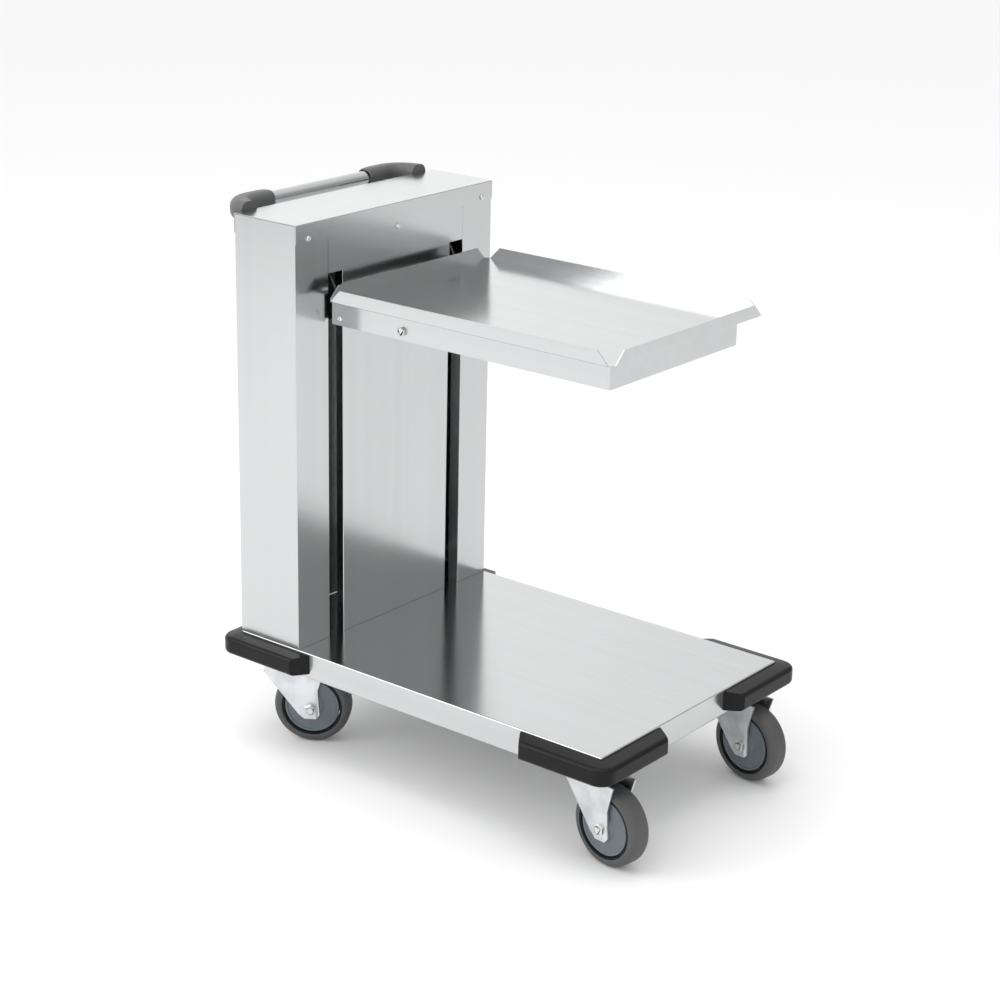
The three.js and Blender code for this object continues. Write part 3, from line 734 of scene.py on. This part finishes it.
for station, size in ((0.0015, 0.91), (0.008, 0.96), (0.020, 1.0)):
    bpy.ops.mesh.extrude_region_move(
        TRANSFORM_OT_translate={"value": (0, mouth_y + station - reached, 0)},
    )
    bpy.ops.transform.resize(
        value=(size / swell, 1, size / swell), center_override=tube_centre,
    )
    reached = mouth_y + station
    swell = size
bpy.ops.mesh.extrude_region_move(
    TRANSFORM_OT_translate={"value": (0, bend_centre.y - reached, 0)},
)
bpy.ops.mesh.spin(
    steps=18, angle=math.pi / 2, center=bend_centre, axis=(0, 0, 1), use_auto_merge=False,
)
bpy.ops.mesh.select_all(action="SELECT")
bpy.ops.mesh.remove_doubles(threshold=0.00001)
bpy.ops.mesh.normals_make_consistent(inside=False)
pick(elbow, "FACE", lambda face: near(face.calc_center_median().y, mouth_y))
bpy.ops.mesh.inset(thickness=mouth_rim)
bpy.ops.mesh.extrude_region_move(TRANSFORM_OT_translate={"value": (0, socket_depth, 0)})
leave_edit()


def turned_out(piece):
    """Turn a closed piece's faces outwards if they point inwards."""
    form = bmesh.new()
    form.from_mesh(piece.data)
    inwards = form.calc_volume(signed=True) < 0
    form.free()
    if inwards:
        piece.data.flip_normals()


turned_out(elbow)
for hand, side in (("left", 1), ("right", -1)):
    twin = copy_of(elbow)
    if side < 0:
        twin.data.transform(Matrix.Diagonal((1, -1, 1, 1)))
        twin.data.flip_normals()
    node = "handle_elbow_" + hand
    finished(twin, node + "_moulded", "trolley", elbow_grey, [node])
bpy.data.objects.remove(elbow)

# ------------------------------------------------------------------ castors
# Four swivel castors. Each has a zinc-plated plate bolted to its channel, a ball race, a
# pressed fork with a raised strip down each leg, and a moulded wheel with a rubber tyre
# on an axle bolt. One is modelled with its trail along +X and copied to the four places.

castor_places = {}
for end in ("front", "rear"):
    for hand in ("right", "left"):
        name = f"castor_{end}_{hand}"
        low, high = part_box(name + "_plate")
        pivot = (low + high) / 2
        low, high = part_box(name + "_core")
        hub = (low + high) / 2
        turn = math.atan2(hub.y - pivot.y, hub.x - pivot.x)
        place = Matrix.Translation((pivot.x, pivot.y, 0)) @ Matrix.Rotation(turn, 4, "Z")
        low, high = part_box(name + "_nut")
        nut_side = 1 if (place.inverted() @ ((low + high) / 2)).y > 0 else -1
        castor_places[name] = (end + "_" + hand, place, nut_side)
castor_trail = (hub.xy - pivot.xy).length
axle_height = hub.z
low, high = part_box("castor_front_right_tyre")
wheel_radius = high.z / 2


def at_each_castor(piece, part, kind, finish, with_node=True, mirrored=False):
    """Copy a castor part to its four places, on the trolley, the swivel or the wheel."""
    for name, (corner, place, nut_side) in castor_places.items():
        twin = copy_of(piece)
        if mirrored and nut_side > 0:
            twin.data.transform(Matrix.Diagonal((1, -1, 1, 1)))
            twin.data.flip_normals()
        fixed = kind == "trolley"
        twin.data.transform(Matrix.Translation(place.translation) if fixed else place)
        body = kind if fixed else f"{kind}_{corner}"
        nodes = [f"{name}_{part}"] if with_node else []
        finished(twin, f"{name}_{part}_made", body, finish, nodes)
    bpy.data.objects.remove(piece)


plate_low, plate_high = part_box("castor_front_right_plate")
plate_sheet = 0.003
plate_foot = plate_high.z - plate_sheet
plate_corner = 0.008
plate_deburr = 0.0005
race_radius = 0.032
race_height = 0.0075
race_lip = 0.0045
race_step = 0.0016
race_flare = 1.14
race_rounding = 0.0016
remove_selection()
bpy.ops.mesh.primitive_cube_add(size=1, location=(0, 0, plate_high.z - plate_sheet / 2))
plate = bpy.context.object
plate.scale = (plate_high.x - plate_low.x, plate_high.y - plate_low.y, plate_sheet)
bpy.ops.object.transform_apply(location=True, rotation=True, scale=True)
edit(plate)
pick(plate, "EDGE", lambda edge: abs(edge.verts[0].co.z - edge.verts[1].co.z) > 0.001)
bpy.ops.mesh.bevel(offset=plate_corner, segments=6, affect="EDGES")
pick(plate, "EDGE", lambda edge: outward(edge, 60))
bpy.ops.mesh.bevel(offset=plate_deburr, segments=1, affect="EDGES")
leave_edit()
bpy.ops.mesh.primitive_cylinder_add(
    vertices=64, radius=race_radius, depth=race_height,
    location=(0, 0, plate_foot - race_height / 2),
)
race = bpy.context.object
bpy.ops.object.transform_apply(location=True, rotation=True, scale=True)
edit(race)
pick(race, "FACE", lambda face: face.normal.z < -0.99)
bpy.ops.mesh.inset(thickness=race_lip)
bpy.ops.mesh.extrude_region_move(TRANSFORM_OT_translate={"value": (0, 0, -race_step)})
bpy.ops.mesh.extrude_region_move(TRANSFORM_OT_translate={"value": (0, 0, 0)})
bpy.ops.transform.resize(value=(race_flare, race_flare, 1))
reached = plate_foot - race_height - race_step
bpy.ops.mesh.extrude_region_move(
    TRANSFORM_OT_translate={"value": (0, 0, plate_low.z - reached)},
)
pick(race, "EDGE", lambda edge: outward(edge, 60))
bpy.ops.mesh.bevel(offset=race_rounding, segments=4, affect="EDGES")
leave_edit()
at_each_castor(joined(plate, race), "plate", "trolley", zinc)

bolt_heads = []
plate_bolt_x = 0.031
plate_bolt_y = 0.033
plate_bolt_across = 0.013
plate_bolt_head = 0.005
washer_radius = 0.0078
washer_sheet = 0.0012
for x in (-plate_bolt_x, plate_bolt_x):
    for y in (-plate_bolt_y, plate_bolt_y):
        head = hexagon_head(plate_bolt_across, plate_bolt_head)
        remove_selection()
        bpy.ops.mesh.primitive_cylinder_add(
            vertices=32, radius=washer_radius, depth=washer_sheet, location=(0, 0, -washer_sheet / 2),
        )
        washer = bpy.context.object
        edit(washer)
        bpy.ops.mesh.bevel(offset=0.0003, segments=1, affect="EDGES")
        leave_edit()
        bpy.ops.object.transform_apply(location=True, rotation=True, scale=True)
        head = joined(head, washer)
        head.data.transform(
            Matrix.Translation((x, y, plate_foot - washer_sheet)) @ Matrix.Rotation(math.pi, 4, "X")
        )
        bolt_heads.append(head)
at_each_castor(
    joined(*bolt_heads), "plate_bolts", "trolley", screw_shine, with_node=False,
)

fork = copied("castor_front_right_fork")
fork.data.transform(castor_places["castor_front_right"][1].inverted())
leg_face = max(spot.co.y for spot in fork.data.vertices)
crown_top = max(spot.co.z for spot in fork.data.vertices)
strip_depth = 0.0024
strip_slope = 0.003
strip_back = 0.029
strip_front = 0.0475
strip_level = 0.05
strip_lean = -0.05
crown_band = 0.008
slack = 0.0002
crown_rounding = 0.004
axle_gap = 0.0003
edit(fork)
pick(fork, "EDGE", lambda edge: all(
    near(spot.co.z, crown_top) and near(abs(spot.co.y), leg_face) for spot in edge.verts))
bpy.ops.mesh.bevel(offset=crown_rounding, segments=5, affect="EDGES", clamp_overlap=True)
for x, lean_back, sign in ((strip_back, 0, 1), (strip_front, strip_lean, -1)):
    for step in (0, sign * strip_slope):
        bpy.ops.mesh.select_all(action="SELECT")
        bpy.ops.mesh.bisect(
            plane_co=(x - step, 0, strip_level), plane_no=(1, 0, -lean_back),
        )
pick(fork, "VERT", lambda spot: spot.co.z < crown_top - crown_band and (
    spot.co.x < strip_back - strip_slope + slack
    or spot.co.x > strip_front + strip_lean * (spot.co.z - strip_level) + strip_slope - slack))
form = bmesh.from_edit_mesh(fork.data)
for spot in form.verts:
    if spot.select:
        spot.co.y -= math.copysign(strip_depth, spot.co.y)
bmesh.update_edit_mesh(fork.data)
pick(fork, "EDGE", lambda edge: outward(edge, 50))
bpy.ops.mesh.bevel(offset=0.0004, segments=1, affect="EDGES", clamp_overlap=True)
leave_edit()
at_each_castor(fork, "fork", "swivel", zinc)

axle_face = leg_face + axle_gap
axle_thread = 0.012
axle_across = 0.017
axle_head = 0.006
axle_diameter = 0.010
nut_height = 0.008
bolt = joined(
    hexagon_head(axle_across, axle_head),
    shank(axle_diameter, -(2 * axle_face + axle_thread), shank_overlap),
)
axle_place = Matrix.Translation((castor_trail, axle_face, axle_height))
bolt.data.transform(axle_place @ Matrix.Rotation(-math.pi / 2, 4, "X"))
at_each_castor(bolt, "axle", "swivel", screw_shine, mirrored=True)

nut = hexagon_head(axle_across, nut_height)
axle_place = Matrix.Translation((castor_trail, -axle_face, axle_height))
nut.data.transform(axle_place @ Matrix.Rotation(math.pi / 2, 4, "X"))
at_each_castor(nut, "nut", "swivel", screw_shine, mirrored=True)


def wheel_disc(radius, width, sides=96):
    """A plain disc on the axle, from which a wheel part is shaped."""
    remove_selection()
    bpy.ops.mesh.primitive_cylinder_add(
        vertices=sides, radius=radius, depth=width,
        location=(castor_trail, 0, axle_height), rotation=(math.pi / 2, 0, 0),
    )
    disc = bpy.context.object
    bpy.ops.object.transform_apply(location=True, rotation=True, scale=True)
    edit(disc)
    return disc


def both_sides(face):
    """Whether a face is one of a disc's two flat sides."""
    return abs(face.normal.y) > 0.99 and len(face.verts) > 8


core_grey = moulded("core_grey", ((0.105, 0.128, 0.142), (0.125, 0.150, 0.166)), 0.4)
core_radius = 0.0442
core_width = 0.034
core = wheel_disc(core_radius, core_width)
pick(core, "EDGE", lambda edge: outward(edge, 60))
bpy.ops.mesh.bevel(offset=0.001, segments=3, affect="EDGES")
pick(core, "FACE", both_sides)
core_rings = ((0.0025, 0), (0.0015, -0.0015), (0.020, 0.0008), (0.001, 0.0012), (0.004, 0.0012),
              (0.0085, 0))
for ring_width, ring_rise in core_rings:
    bpy.ops.mesh.inset(thickness=ring_width, depth=ring_rise, use_individual=True)
bpy.ops.mesh.bridge_edge_loops()
leave_edit()
at_each_castor(core, "core", "wheel", core_grey)

# A black ring standing proud between the core and the tyre on both sides of each wheel. Its black
# stands in for the shade in the gap between them: painted shade.
painted_gap_shade = moulded(
    "painted_gap_shade", ((0.003, 0.003, 0.0035), (0.005, 0.005, 0.006)), 0.4, gleam=0.2,
)
shade_ring_radius = 0.0507
shade_ring_width = 0.0345
shade_ring = wheel_disc(shade_ring_radius, shade_ring_width)
pick(shade_ring, "EDGE", lambda edge: outward(edge, 60))
bpy.ops.mesh.bevel(offset=0.0012, segments=3, affect="EDGES")
pick(shade_ring, "FACE", both_sides)
bpy.ops.mesh.inset(thickness=0.0035, use_individual=True)
bpy.ops.mesh.bridge_edge_loops()
leave_edit()
at_each_castor(shade_ring, "shade_ring", "wheel", painted_gap_shade, with_node=False)

tyre_tones = ((0.060, 0.060, 0.061), (0.080, 0.080, 0.081))
tyre_grey = moulded("tyre_grey", tyre_tones, 0.55, 700, 0.00004)
tyre_shoulder = 0.0115
tyre_width = 0.038
tyre = wheel_disc(wheel_radius, tyre_width)
pick(tyre, "EDGE", lambda edge: outward(edge, 60))
bpy.ops.mesh.bevel(offset=tyre_shoulder, segments=10, affect="EDGES")
pick(tyre, "FACE", both_sides)
bpy.ops.mesh.inset(thickness=0.0015, depth=-0.0008, use_individual=True)
bpy.ops.mesh.bridge_edge_loops()
leave_edit()
at_each_castor(tyre, "tyre", "wheel", tyre_grey)
